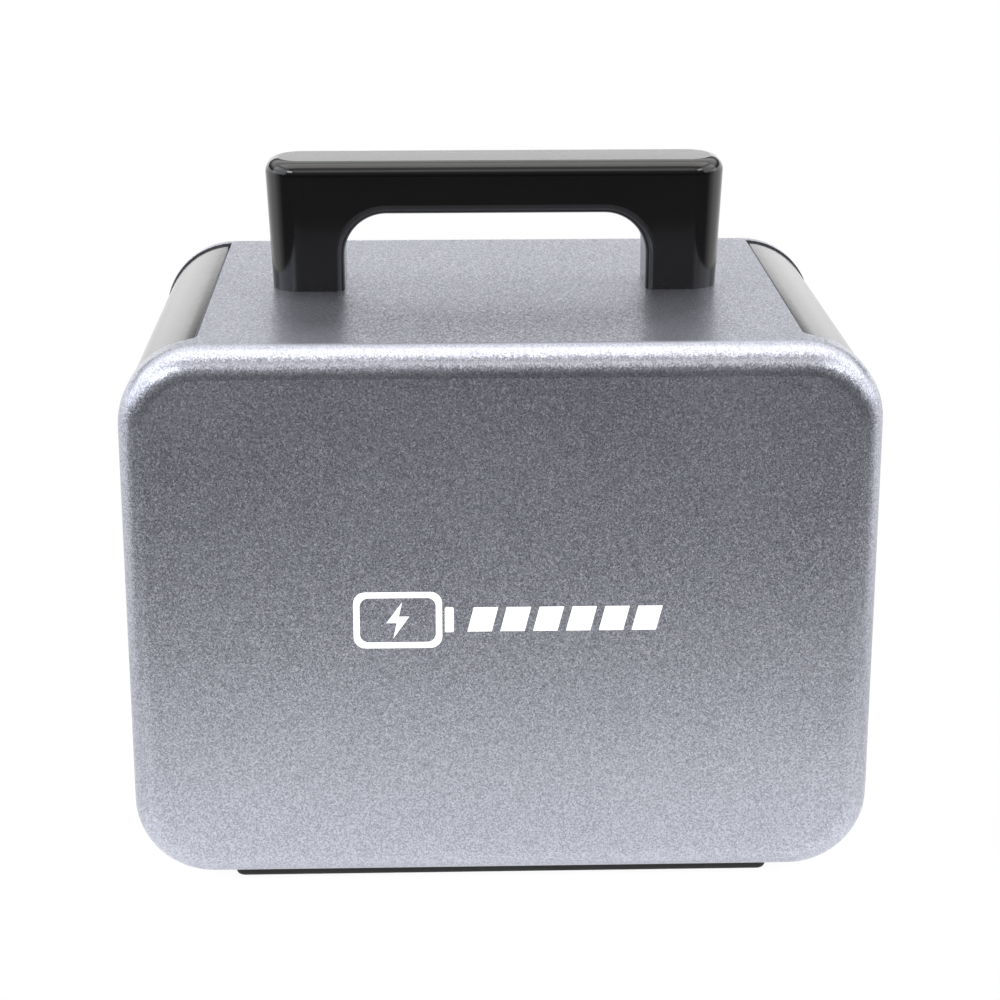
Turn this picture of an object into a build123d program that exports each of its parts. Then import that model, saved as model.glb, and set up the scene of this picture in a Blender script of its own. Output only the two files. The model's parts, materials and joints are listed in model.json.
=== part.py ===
from build123d import *
import os
from math import cos, radians, sin

# Portable power station. X runs across the plain face, Y from the plain face (-Y) to the
# control panel (+Y), Z up from the surface that the feet stand on. All sizes in millimetres.

# Case
body_width = 234.0
body_depth = 168.0
body_height = 174.0
foot_height = 4.0
corner_radius = 25.0
edge_fillet = 9.0
wall = 3.0
fit_gap = 0.3

x_side = body_width / 2
y_face = -body_depth / 2
y_rear = body_depth / 2
y_split = y_rear - 12.0
z_bottom = foot_height
z_top = foot_height + body_height
z_middle = (z_bottom + z_top) / 2

# Openings in the shell for the side panels
x_window = 93.0
y_window = y_face + 16.0
window_corner = 3.5
side_panel_recess = 0.6
side_panel_thickness = 3.0
side_flange = 5.0
side_flange_thickness = 2.0

# Handle
handle_length = 151.0
handle_depth = 28.0
handle_rise = 43.0
handle_cap_rise = 4.6
handle_centre_y = 6.0
handle_plan_corner = 12.0
handle_draft = 2.6
grip_gap_width = 99.4
grip_gap_rise = 25.7
grip_gap_corner = 14.0
grip_edge_fillet = 3.4
handle_top_fillet = 4.4
handle_screw_x = 61.5
handle_screw_spacing = 14.0

# Rubber feet
foot_length = 172.0
foot_width = 12.0
foot_seat = 1.0
foot_front_y = y_face + 16.0
foot_rear_y = y_split - 10.0

# Control panel and its layout
panel_width = 214.0
panel_height = 154.0
panel_corner = 15.0
panel_front_y = y_rear - 1.5
panel_thickness = 3.0
panel_back_y = panel_front_y - panel_thickness
panel_flange_thickness = 2.0
boss_x = 86.0
boss_radius = 4.0
boss_length = 27.0
boss_inset = 17.5
boss_rise = body_height / 2 - wall - boss_inset
boss_points = [(sx * boss_x, z_middle + sz * boss_rise) for sx in (-1, 1) for sz in (-1, 1)]

display_width = 84.0
display_height = 30.0
display_corner = 3.0
display_z = 145.0
display_ledge = 2.0
panel_opening_gap = 0.2
ac_socket_x = (-77.0, -23.0)
ac_socket_z = 56.0
ac_recess_radius = 21.5
ac_recess_depth = 17.5
ac_housing_radius = 23.8
ac_flange_size = 51.0
ac_flange_corner = 9.0
ac_pin_entry_radius = 2.8
ac_contact_bore_radius = 3.7
ac_pin_spacing = 19.0
car_socket_x = 34.0
car_socket_z = 56.0
car_bore_radius = 10.5
car_barrel_radius = 12.5
car_barrel_length = 40.0
car_flange_radius = 16.0
usb_row_z = 101.0
usb_a_x = (60.0, 78.0)
usb_c_x = 95.0
dc_jack_x = (69.0, 87.0)
dc_jack_z = 56.0
input_jack_x = 66.0
input_jack_z = 145.0
jack_radius = 3.9
button_radius = 5.8
button_clearance = 0.4
button_travel = 1.2
buttons = {
    "button_ac": (-50.0, 101.0),
    "button_dc": (34.0, 101.0),
    "button_usb": (77.0, 121.0),
    "button_display": (-66.0, 145.0),
}
cover_pin_radius = 0.5
cover_barrel_radius = 1.1
cover_axis_y = y_rear - 1.1
covers = {
    "input_cover": (input_jack_x, input_jack_z, 16.0),
    "dc_output_cover": ((dc_jack_x[0] + dc_jack_x[1]) / 2, dc_jack_z, 34.0),
}
cover_reach = 18.0
cover_thickness = 1.2
cover_hinge_rise = 9.5

# Circuit board behind the control panel
board_thickness = 1.6
port_board_y = 62.0
port_board_x = (-90.0, 102.0)
port_board_z = (90.0, 152.5)
switch_front_y = port_board_y + board_thickness + 7.0
board_post_points = [(-84.0, 95.0), (-84.0, 146.0), (97.0, 146.0), (14.0, 95.0)]

# Battery: cells lie along Y in a grid, ten across and four high
cell_radius = 9.2
cell_length = 65.1
cell_pitch = 19.6
cells_across = 10
cells_high = 4
pack_front_y = y_face + 8.0
pack_back_y = pack_front_y + cell_length
pack_bottom_z = 12.0
holder_width = 198.0
holder_height = 80.0
holder_thickness = 10.0
strip_thickness = 0.4
pack_middle_z = pack_bottom_z + holder_height / 2

# Inverter, above the battery
shelf_z = 104.0
shelf_thickness = 2.0
shelf_half_width = 106.3
shelf_depth = 70.0
shelf_leg_foot_z = 22.0
inverter_board_z = 111.0
inverter_board_width = 176.0
inverter_board_depth = 66.0
inverter_middle_y = -44.0

# Fans behind the vents of the side panels
fan_size = 50.0
fan_depth = 15.0
fan_bore_radius = 23.6
fan_y = -36.0
fan_z = 131.5
fan_inner_x = 97.9
fan_blades = 7
shaft_radius = 1.5
running_fit = 0.05
vent_slot_length = 44.0
vent_slot_width = 3.0
vent_rows = 8
vent_pitch = 6.0

os.makedirs("parts", exist_ok=True)


def upright(y):
    """A sketch plane across the body at depth y: sketch x is X, sketch y is Z, and it faces -Y."""
    return Plane.XZ.offset(-y)


def sideways(x):
    """A sketch plane along the body at x: sketch x is Y, sketch y is Z, and it faces +X."""
    return Plane.YZ.offset(x)


def body_outline(inset, mode=Mode.ADD):
    """The body's rounded outline moved inward by inset, drawn in the open sketch."""
    with Locations((0, z_middle)):
        RectangleRounded(
            body_width - 2 * inset, body_height - 2 * inset, corner_radius - inset, mode=mode
        )


def save(part, name):
    """Labels a finished piece and writes it as its own STEP file."""
    part.label = name
    export_step(part, f"parts/{name}.step")


# ---------------------------------------------------------------- case

with BuildPart() as outer_shell:
    with BuildSketch(upright(y_split)):
        body_outline(0)
    extrude(amount=y_split - y_face)
    fillet(outer_shell.faces().sort_by(Axis.Y)[0].edges(), radius=edge_fillet)
    with BuildSketch(upright(y_split)):
        body_outline(wall)
    extrude(amount=y_split - y_face - wall, mode=Mode.SUBTRACT)
    cavity_floor = outer_shell.faces().filter_by(Axis.Y).sort_by(Axis.Y)[1]
    fillet(cavity_floor.edges(), radius=edge_fillet - wall)
    with BuildSketch(Plane.XY.offset(z_bottom - 1)) as window_plan:
        with Locations((-x_window, y_window), (x_window, y_window)):
            Rectangle(60, 300, align=(Align.CENTER, Align.MIN))
        with Locations((0, 0)):
            Rectangle(2 * x_window, 400, mode=Mode.SUBTRACT)
        inner_corners = window_plan.vertices().filter_by_position(
            Axis.X, -x_window - 0.1, x_window + 0.1
        )
        fillet(inner_corners.group_by(Axis.Y)[0], radius=window_corner)
    extrude(amount=body_height + 2, mode=Mode.SUBTRACT)
    with BuildSketch(upright(panel_back_y - 0.1)):
        with Locations(*boss_points):
            Circle(boss_radius)
    extrude(amount=boss_length)
    with BuildSketch(upright(y_split - 0.1)):
        for boss_at_x, boss_at_z in boss_points:
            outward = -1 if boss_at_z < z_middle else 1
            with Locations((boss_at_x, boss_at_z + outward * (boss_inset - 1) / 2)):
                Rectangle(3, boss_inset + 3)
    extrude(amount=boss_length - 7.5)
    with BuildSketch(upright(panel_back_y)):
        with Locations(*boss_points):
            Circle(1.35)
    extrude(amount=16, mode=Mode.SUBTRACT)
    with BuildSketch(Plane.XY.offset(z_top - wall - 1)):
        for leg in (-1, 1):
            with Locations((leg * handle_screw_x, handle_centre_y)):
                with GridLocations(0, handle_screw_spacing, 1, 2):
                    Circle(1.7)
    extrude(amount=wall + 2, mode=Mode.SUBTRACT)
    with BuildSketch(Plane.XY.offset(z_bottom)):
        with Locations((0, foot_front_y), (0, foot_rear_y)):
            RectangleRounded(foot_length + 0.4, foot_width + 0.4, 3.2)
    extrude(amount=foot_seat, mode=Mode.SUBTRACT)
save(outer_shell.part, "outer_shell")


def make_side_panel(side):
    """Gloss panel wrapped over one side of the case, side -1 for left and 1 for right."""
    inner_x = x_window + fit_gap
    front_y = y_window + fit_gap
    back_y = y_split - fit_gap
    flange_inner = wall + 0.05
    with BuildPart() as panel:
        with BuildSketch(upright(back_y)):
            body_outline(side_panel_recess)
            body_outline(side_panel_recess + side_panel_thickness, mode=Mode.SUBTRACT)
        extrude(amount=back_y - front_y)
        with BuildSketch(Plane.XY.offset(z_bottom - 1)) as plan:
            with Locations((side * (inner_x + x_side + 2) / 2, (front_y + back_y) / 2)):
                Rectangle(x_side + 2 - inner_x, back_y - front_y)
            corner = plan.vertices().group_by(Axis.Y)[0].sort_by(Axis.X)
            fillet(corner[0 if side > 0 else -1], radius=window_corner)
        extrude(amount=body_height + 2, mode=Mode.INTERSECT)
        lip_edges = panel.edges().filter_by(Axis.Y).group_by(Axis.X)[0 if side > 0 else -1]
        chamfer([lip_edges.sort_by(Axis.Z)[0], lip_edges.sort_by(Axis.Z)[-1]], length=0.7)
        for flange_x, flange_back in ((x_window + 4, back_y), (x_side, y_window + 4)):
            flange_front = y_window - side_flange
            with BuildSketch(upright(flange_back)):
                body_outline(flange_inner)
                body_outline(flange_inner + side_flange_thickness, mode=Mode.SUBTRACT)
                low_x = x_window - side_flange
                with Locations((side * (low_x + flange_x) / 2, z_middle)):
                    Rectangle(flange_x - low_x, body_height, mode=Mode.INTERSECT)
            extrude(amount=flange_back - flange_front)
        with BuildSketch(sideways(side * x_side)):
            with Locations((fan_y, fan_z)):
                with GridLocations(0, vent_pitch, 1, vent_rows):
                    SlotOverall(vent_slot_length, vent_slot_width)
        extrude(amount=-side * 8, mode=Mode.SUBTRACT)
    return panel.part


save(make_side_panel(-1), "side_panel_left")
save(make_side_panel(1), "side_panel_right")

with BuildPart() as rear_frame:
    with BuildSketch(upright(y_rear)):
        body_outline(0)
    extrude(amount=y_rear - y_split)
    fillet(rear_frame.faces().sort_by(Axis.Y)[-1].edges(), radius=edge_fillet)
    with BuildSketch(upright(y_rear)):
        with Locations((0, z_middle)):
            RectangleRounded(panel_width, panel_height, panel_corner)
    extrude(amount=y_rear - y_split, mode=Mode.SUBTRACT)
    with BuildSketch(upright(panel_back_y)):
        with Locations((0, z_middle)):
            RectangleRounded(panel_width + 8, panel_height + 8, panel_corner + 4)
    extrude(amount=panel_back_y - y_split, mode=Mode.SUBTRACT)
save(rear_frame.part, "rear_frame")

# ---------------------------------------------------------------- handle

cap_seam_z = z_top + handle_rise - handle_cap_rise

with BuildPart() as handle_lower:
    with BuildSketch(Plane.XY.offset(cap_seam_z)):
        with Locations((0, handle_centre_y)):
            RectangleRounded(handle_length, handle_depth, handle_plan_corner)
    extrude(amount=-(handle_rise - handle_cap_rise), taper=handle_draft)
    with BuildSketch(upright(handle_centre_y + handle_depth)):
        with Locations((0, z_top + (grip_gap_rise - 20) / 2)):
            RectangleRounded(grip_gap_width, grip_gap_rise + 20, grip_gap_corner)
    extrude(amount=2 * handle_depth, mode=Mode.SUBTRACT)
    arch_faces = handle_lower.faces().filter_by(
        lambda face: abs(face.center().X) < grip_gap_width / 2 + 1
        and face.center().Z < z_top + grip_gap_rise + 0.1
        and face.center().Z > z_top + 1
        and abs(face.center().Y - handle_centre_y) < 2
    )
    arch_edges = ShapeList()
    for arch_face in arch_faces:
        arch_edges += arch_face.edges().filter_by(
            lambda edge: abs(edge.center().Y - handle_centre_y) > 8
        )
    fillet(arch_edges, radius=grip_edge_fillet)
    with BuildSketch(Plane.XY.offset(z_top)):
        for leg in (-1, 1):
            with Locations((leg * handle_screw_x, handle_centre_y)):
                with GridLocations(0, handle_screw_spacing, 1, 2):
                    Circle(1.45)
    extrude(amount=18, mode=Mode.SUBTRACT)
save(handle_lower.part, "handle_lower")

with BuildPart() as handle_upper:
    with BuildSketch(Plane.XY.offset(cap_seam_z)):
        with Locations((0, handle_centre_y)):
            RectangleRounded(handle_length, handle_depth, handle_plan_corner)
    extrude(amount=handle_cap_rise)
    fillet(handle_upper.faces().sort_by(Axis.Z)[-1].edges(), radius=handle_top_fillet)
save(handle_upper.part, "handle_upper")


handle_screw_points = [
    (leg * handle_screw_x, handle_centre_y + row * handle_screw_spacing / 2)
    for leg in (-1, 1)
    for row in (-1, 1)
]

with BuildPart() as handle_screws:
    with BuildSketch(Plane.XY.offset(z_top - wall)):
        with Locations(*handle_screw_points):
            Circle(3.0)
    extrude(amount=-2)
    with BuildSketch(Plane.XY.offset(z_top - wall)):
        with Locations(*handle_screw_points):
            Circle(1.4)
    extrude(amount=wall + 16)
save(handle_screws.part, "handle_screws")

# ---------------------------------------------------------------- feet


def make_foot(y):
    """One rubber bar set into the groove in the shell's floor."""
    with BuildPart() as foot:
        with BuildSketch(Plane.XY):
            with Locations((0, y)):
                RectangleRounded(foot_length, foot_width, 3.0)
        extrude(amount=foot_height + foot_seat)
        fillet(foot.faces().sort_by(Axis.Z)[0].edges(), radius=1.4)
    return foot.part


save(make_foot(foot_front_y), "foot_front")
save(make_foot(foot_rear_y), "foot_rear")

# ---------------------------------------------------------------- control panel

with BuildPart() as control_panel:
    with BuildSketch(upright(panel_front_y)):
        with Locations((0, z_middle)):
            RectangleRounded(panel_width - 0.6, panel_height - 0.6, panel_corner - 0.3)
    extrude(amount=panel_thickness)
    with BuildSketch(upright(panel_back_y)):
        with Locations((0, z_middle)):
            RectangleRounded(panel_width + 6, panel_height + 6, panel_corner + 3)
            RectangleRounded(
                panel_width - 9, panel_height - 9, panel_corner - 4, mode=Mode.SUBTRACT
            )
    extrude(amount=panel_flange_thickness)
    with BuildSketch(upright(panel_front_y)):
        with Locations((0, display_z)):
            RectangleRounded(
                display_width + 2 * panel_opening_gap,
                display_height + 2 * panel_opening_gap,
                display_corner + panel_opening_gap,
            )
    extrude(amount=display_ledge, mode=Mode.SUBTRACT)
    with BuildSketch(upright(panel_front_y)):
        with Locations((0, display_z)):
            RectangleRounded(display_width - 4, display_height - 4, 2.0)
        with Locations(*[(x, ac_socket_z) for x in ac_socket_x]):
            Circle(ac_housing_radius + panel_opening_gap)
        with Locations((car_socket_x, car_socket_z)):
            Circle(car_barrel_radius + panel_opening_gap)
        with Locations(*[(x, usb_row_z) for x in usb_a_x]):
            Rectangle(13.7, 6.2)
        with Locations((usb_c_x, usb_row_z)):
            SlotOverall(9.5, 3.7)
        with Locations(*[(x, dc_jack_z) for x in dc_jack_x], (input_jack_x, input_jack_z)):
            Circle(jack_radius + 0.15)
        with Locations(*buttons.values()):
            Circle(button_radius + button_clearance)
        with Locations(*boss_points):
            Circle(1.7)
    extrude(amount=panel_thickness, mode=Mode.SUBTRACT)
    with BuildSketch(upright(panel_front_y)):
        with Locations(*boss_points):
            Circle(3.1)
    extrude(amount=1.8, mode=Mode.SUBTRACT)
    for cover_x, cover_z, cover_width in covers.values():
        hinge_z = cover_z + cover_hinge_rise
        with BuildSketch(upright(panel_front_y)):
            with Locations((cover_x, hinge_z)):
                Rectangle(cover_width - 3, 3.4)
        extrude(amount=1.2, mode=Mode.SUBTRACT)
        with BuildSketch(upright(y_rear - 0.1)):
            for end in (-1, 1):
                with Locations((cover_x + end * (cover_width / 2), hinge_z)):
                    Rectangle(2.4, 3.0)
        extrude(amount=y_rear - panel_front_y + 0.5)
        with BuildSketch(sideways(cover_x - cover_width / 2 - 0.8)):
            with Locations((cover_axis_y, hinge_z)):
                Circle(cover_pin_radius)
        extrude(amount=cover_width + 1.6, mode=Mode.SUBTRACT)
save(control_panel.part, "control_panel")

with BuildPart() as panel_screws:
    with BuildSketch(upright(panel_front_y - 0.1)):
        with Locations(*boss_points):
            Circle(2.8)
    extrude(amount=1.7)
    with BuildSketch(upright(panel_front_y - 1)):
        with Locations(*boss_points):
            Circle(1.3)
    extrude(amount=16)
    with BuildSketch(upright(panel_front_y - 0.1)):
        with Locations(*boss_points):
            RegularPolygon(1.3, 6)
    extrude(amount=1.0, mode=Mode.SUBTRACT)
save(panel_screws.part, "panel_screws")

with BuildPart() as display_window:
    with BuildSketch(upright(panel_front_y)):
        with Locations((0, display_z)):
            RectangleRounded(display_width, display_height, display_corner)
    extrude(amount=display_ledge)
save(display_window.part, "display_window")

with BuildPart() as lcd_module:
    with BuildSketch(upright(panel_back_y - 0.1)):
        with Locations((0, display_z)):
            RectangleRounded(display_width - 1, display_height + 1, 1.5)
    extrude(amount=5)
    with BuildSketch(upright(panel_back_y - 5)):
        with Locations((0, display_z - 8)):
            with GridLocations(72, 10, 2, 2):
                Circle(1.5)
    extrude(amount=panel_back_y - 5 - port_board_y - board_thickness)
save(lcd_module.part, "lcd_module")


def make_button(x, z):
    """A push button: cap, retaining collar behind the panel, and a rod towards its switch."""
    with BuildPart() as button:
        with BuildSketch(upright(panel_front_y + 0.9)):
            with Locations((x, z)):
                Circle(button_radius)
        extrude(amount=panel_thickness + 0.9 + 0.4)
        fillet(button.faces().sort_by(Axis.Y)[-1].edges(), radius=0.5)
        with BuildSketch(upright(panel_back_y - 0.4)):
            with Locations((x, z)):
                Circle(button_radius + 1.4)
        extrude(amount=1.2)
        with BuildSketch(upright(panel_back_y - 1)):
            with Locations((x, z)):
                Circle(2.0)
        extrude(amount=panel_back_y - 1 - switch_front_y - fit_gap - button_travel)
    return button.part


for button_name, (button_x, button_z) in buttons.items():
    save(make_button(button_x, button_z), button_name)

with BuildPart() as tact_switches:
    for button_x, button_z in buttons.values():
        with BuildSketch(upright(port_board_y + board_thickness + 4)):
            with Locations((button_x, button_z)):
                RectangleRounded(6, 6, 0.6)
        extrude(amount=4)
        with BuildSketch(upright(switch_front_y)):
            with Locations((button_x, button_z)):
                Circle(1.7)
        extrude(amount=3.5)
save(tact_switches.part, "tact_switches")


def make_ac_socket(x):
    """A round two-pin mains socket with its square flange and the block that holds its contacts."""
    recess_floor_y = y_rear - ac_recess_depth
    with BuildPart() as socket:
        with BuildSketch(upright(y_rear)):
            with Locations((x, ac_socket_z)):
                RectangleRounded(ac_flange_size, ac_flange_size, ac_flange_corner)
        extrude(amount=y_rear - panel_front_y)
        fillet(socket.faces().sort_by(Axis.Y)[-1].edges(), radius=0.8)
        with BuildSketch(upright(panel_front_y)):
            with Locations((x, ac_socket_z)):
                Circle(ac_housing_radius)
        extrude(amount=panel_front_y - recess_floor_y + 5)
        with BuildSketch(upright(recess_floor_y - 5)):
            with Locations((x, ac_socket_z)):
                RectangleRounded(36, 22, 2)
        extrude(amount=11)
        with BuildSketch(upright(y_rear)):
            with Locations((x, ac_socket_z)):
                Circle(ac_recess_radius)
        extrude(amount=ac_recess_depth, mode=Mode.SUBTRACT)
        with BuildSketch(upright(recess_floor_y)):
            with Locations((x, ac_socket_z)):
                with GridLocations(ac_pin_spacing, 0, 2, 1):
                    Circle(ac_pin_entry_radius)
        extrude(amount=2, mode=Mode.SUBTRACT)
        with BuildSketch(upright(recess_floor_y - 2)):
            with Locations((x, ac_socket_z)):
                with GridLocations(ac_pin_spacing, 0, 2, 1):
                    Circle(ac_contact_bore_radius)
        extrude(amount=14, mode=Mode.SUBTRACT)
    return socket.part


save(make_ac_socket(ac_socket_x[0]), "ac_socket_left")
save(make_ac_socket(ac_socket_x[1]), "ac_socket_right")

with BuildPart() as earth_clips:
    for socket_x in ac_socket_x:
        for upper in (-1, 1):
            clip_z = ac_socket_z + upper * (ac_recess_radius - 0.9)
            with BuildSketch(upright(y_rear - 2.5)):
                with Locations((socket_x, clip_z)):
                    Rectangle(4.0, 1.2)
            extrude(amount=ac_recess_depth - 2.6)
save(earth_clips.part, "earth_clips")

with BuildPart() as socket_contacts:
    for socket_x in ac_socket_x:
        with BuildSketch(upright(y_rear - ac_recess_depth - 2.1)):
            with Locations((socket_x, ac_socket_z)):
                with GridLocations(ac_pin_spacing, 0, 2, 1):
                    Circle(3.5)
                    Circle(2.5, mode=Mode.SUBTRACT)
        extrude(amount=13)
save(socket_contacts.part, "socket_contacts")

with BuildPart() as car_socket:
    with BuildSketch(upright(y_rear)):
        with Locations((car_socket_x, car_socket_z)):
            Circle(car_flange_radius)
    extrude(amount=y_rear - panel_front_y)
    fillet(car_socket.faces().sort_by(Axis.Y)[-1].edges(), radius=0.7)
    with BuildSketch(upright(panel_front_y)):
        with Locations((car_socket_x, car_socket_z)):
            Circle(car_barrel_radius)
    extrude(amount=car_barrel_length - 1.5)
    with BuildSketch(upright(y_rear)):
        with Locations((car_socket_x, car_socket_z)):
            Circle(car_bore_radius)
    extrude(amount=car_barrel_length - 2, mode=Mode.SUBTRACT)
    with BuildSketch(upright(y_rear - car_barrel_length + 3)):
        with Locations((car_socket_x, car_socket_z)):
            Circle(3.1)
    extrude(amount=4, mode=Mode.SUBTRACT)
save(car_socket.part, "car_socket")

with BuildPart() as car_socket_contact:
    with BuildSketch(upright(y_rear - car_barrel_length + 1.9)):
        with Locations((car_socket_x, car_socket_z)):
            Circle(3.0)
    extrude(amount=8)
    fillet(car_socket_contact.faces().sort_by(Axis.Y)[-1].edges(), radius=1.0)
save(car_socket_contact.part, "car_socket_contact")

port_back_y = port_board_y + board_thickness + 0.1
port_length = panel_front_y - 0.1 - port_back_y

with BuildPart() as usb_a_ports:
    for port_x in usb_a_x:
        with BuildSketch(upright(panel_front_y - 0.1)):
            with Locations((port_x, usb_row_z)):
                RectangleRounded(13.2, 5.7, 0.5)
        extrude(amount=port_length)
        with BuildSketch(upright(panel_front_y - 0.1)):
            with Locations((port_x, usb_row_z)):
                Rectangle(12.4, 4.9)
        extrude(amount=port_length - 1, mode=Mode.SUBTRACT)
save(usb_a_ports.part, "usb_a_ports")

with BuildPart() as usb_a_tongues:
    for port_x in usb_a_x:
        with BuildSketch(upright(panel_front_y - 1.1)):
            with Locations((port_x, usb_row_z + 0.9)):
                Rectangle(11.2, 1.8)
        extrude(amount=port_length - 2.1)
save(usb_a_tongues.part, "usb_a_tongues")

with BuildPart() as usb_c_port:
    with BuildSketch(upright(panel_front_y - 0.1)):
        with Locations((usb_c_x, usb_row_z)):
            SlotOverall(9.1, 3.3)
            SlotOverall(8.4, 2.6, mode=Mode.SUBTRACT)
    extrude(amount=port_length)
    with BuildSketch(upright(port_back_y + 6)):
        with Locations((usb_c_x, usb_row_z)):
            SlotOverall(9.1, 3.3)
    extrude(amount=6)
    with BuildSketch(upright(panel_front_y - 0.9)):
        with Locations((usb_c_x, usb_row_z)):
            Rectangle(6.7, 0.8)
    extrude(amount=port_length - 6)
save(usb_c_port.part, "usb_c_port")


def make_jacks(points):
    """Round low-voltage jacks: a threaded barrel with a blind bore and a central pin."""
    with BuildPart() as jacks:
        with BuildSketch(upright(panel_front_y - 0.1)):
            with Locations(*points):
                Circle(jack_radius)
        extrude(amount=15)
        with BuildSketch(upright(panel_front_y - 15)):
            with Locations(*points):
                RectangleRounded(9.4, 9.4, 1)
        extrude(amount=3.5)
        with BuildSketch(upright(panel_front_y - 0.1)):
            with Locations(*points):
                Circle(2.8)
                Circle(1.05, mode=Mode.SUBTRACT)
        extrude(amount=9.5, mode=Mode.SUBTRACT)
    return jacks.part


dc_jack_points = [(x, dc_jack_z) for x in dc_jack_x]
input_jack_points = [(input_jack_x, input_jack_z)]
save(make_jacks(dc_jack_points), "dc_output_jacks")
save(make_jacks(input_jack_points), "input_jack")

with BuildPart() as panel_nuts:
    with BuildSketch(upright(panel_back_y - 0.1)):
        with Locations(*dc_jack_points, *input_jack_points):
            RegularPolygon(6.2, 6)
            Circle(jack_radius + 0.05, mode=Mode.SUBTRACT)
    extrude(amount=2)
    with BuildSketch(upright(panel_back_y - 0.1)):
        with Locations((car_socket_x, car_socket_z)):
            RegularPolygon(16.5, 6)
            Circle(car_barrel_radius + 0.05, mode=Mode.SUBTRACT)
    extrude(amount=4)
save(panel_nuts.part, "panel_nuts")


def make_cover(x, z, width):
    """A rubber flap over the jacks, hung from a barrel along its top edge."""
    hinge_z = z + cover_hinge_rise
    barrel_length = width - 4
    with BuildPart() as cover:
        with BuildSketch(upright(y_rear)):
            with Locations((x, hinge_z - cover_reach / 2)):
                RectangleRounded(barrel_length, cover_reach, 1.0)
        extrude(amount=cover_thickness)
        with BuildSketch(upright(y_rear)):
            with Locations((x, hinge_z - cover_reach / 2 - 2)):
                RectangleRounded(width, cover_reach - 4, 3.0)
        extrude(amount=cover_thickness)
        with BuildSketch(sideways(x - barrel_length / 2)):
            with Locations((cover_axis_y, hinge_z)):
                Circle(cover_barrel_radius)
        extrude(amount=barrel_length)
        with BuildSketch(sideways(x - barrel_length / 2)):
            with Locations((cover_axis_y, hinge_z)):
                Circle(cover_pin_radius + running_fit)
        extrude(amount=barrel_length, mode=Mode.SUBTRACT)
    return cover.part


for cover_name, (cover_x, cover_z, cover_width) in covers.items():
    save(make_cover(cover_x, cover_z, cover_width), cover_name)

with BuildPart() as cover_pins:
    for cover_x, cover_z, cover_width in covers.values():
        with BuildSketch(sideways(cover_x - cover_width / 2 - 0.7)):
            with Locations((cover_axis_y, cover_z + cover_hinge_rise)):
                Circle(cover_pin_radius - 0.01)
        extrude(amount=cover_width + 1.4)
save(cover_pins.part, "cover_pins")

# ---------------------------------------------------------------- board behind the panel

with BuildPart() as port_board:
    with BuildSketch(upright(port_board_y + board_thickness)):
        with Locations((sum(port_board_x) / 2, sum(port_board_z) / 2)):
            RectangleRounded(
                port_board_x[1] - port_board_x[0], port_board_z[1] - port_board_z[0], 3
            )
        with Locations(*board_post_points):
            Circle(1.6, mode=Mode.SUBTRACT)
        with Locations(*input_jack_points):
            RectangleRounded(11, 11, 1, mode=Mode.SUBTRACT)
    extrude(amount=board_thickness)
    with BuildSketch(upright(port_board_y)):
        with Locations((-20, 110), (12, 128), (48, 138)):
            RectangleRounded(12, 12, 0.5)
        with Locations((-46, 124)):
            Rectangle(16, 9)
    extrude(amount=2.2)
save(port_board.part, "port_board")

with BuildPart() as board_screws:
    with BuildSketch(upright(port_board_y + board_thickness + 5)):
        with Locations(*board_post_points):
            Circle(1.25)
    extrude(amount=7)
    with BuildSketch(upright(port_board_y)):
        with Locations(*board_post_points):
            Circle(2.8)
    extrude(amount=1.6)
save(board_screws.part, "board_screws")

# ---------------------------------------------------------------- battery

with BuildPart() as battery_cells:
    with BuildSketch(upright(pack_back_y)):
        with Locations((0, pack_middle_z)):
            with GridLocations(cell_pitch, cell_pitch, cells_across, cells_high):
                Circle(cell_radius)
    extrude(amount=cell_length)
save(battery_cells.part, "battery_cells")


def make_cell_holder(back_y):
    """A bored plate that keeps the cells apart at one end of the pack."""
    with BuildPart() as holder:
        with BuildSketch(upright(back_y)):
            with Locations((0, pack_middle_z)):
                RectangleRounded(holder_width, holder_height, 4)
                with GridLocations(cell_pitch, cell_pitch, cells_across, cells_high):
                    Circle(cell_radius + 0.15, mode=Mode.SUBTRACT)
        extrude(amount=holder_thickness)
    return holder.part


save(make_cell_holder(pack_front_y + holder_thickness), "cell_holder_front")
save(make_cell_holder(pack_back_y), "cell_holder_rear")

strip_width = (cells_across - 1) * cell_pitch + 12
pair_height = cell_pitch + 12

with BuildPart() as nickel_strips:
    with BuildSketch(upright(pack_front_y)):
        with Locations((0, pack_middle_z - cell_pitch), (0, pack_middle_z + cell_pitch)):
            RectangleRounded(strip_width, pair_height, 2)
    extrude(amount=strip_thickness)
    with BuildSketch(upright(pack_back_y + strip_thickness)):
        with Locations((0, pack_middle_z)):
            RectangleRounded(strip_width, pair_height, 2)
        with Locations(
            (0, pack_middle_z - 1.5 * cell_pitch), (0, pack_middle_z + 1.5 * cell_pitch)
        ):
            RectangleRounded(strip_width, 7, 2)
    extrude(amount=strip_thickness)
save(nickel_strips.part, "nickel_strips")

with BuildPart() as pack_insulators:
    for sheet_back_y in (pack_front_y - strip_thickness, pack_back_y + strip_thickness + 0.8):
        with BuildSketch(upright(sheet_back_y)):
            with Locations((0, pack_middle_z)):
                RectangleRounded(holder_width, holder_height, 4)
        extrude(amount=0.8)
save(pack_insulators.part, "pack_insulators")

tray_front_y = pack_front_y - 2.6
tray_depth = cell_length + 5.2

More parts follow.
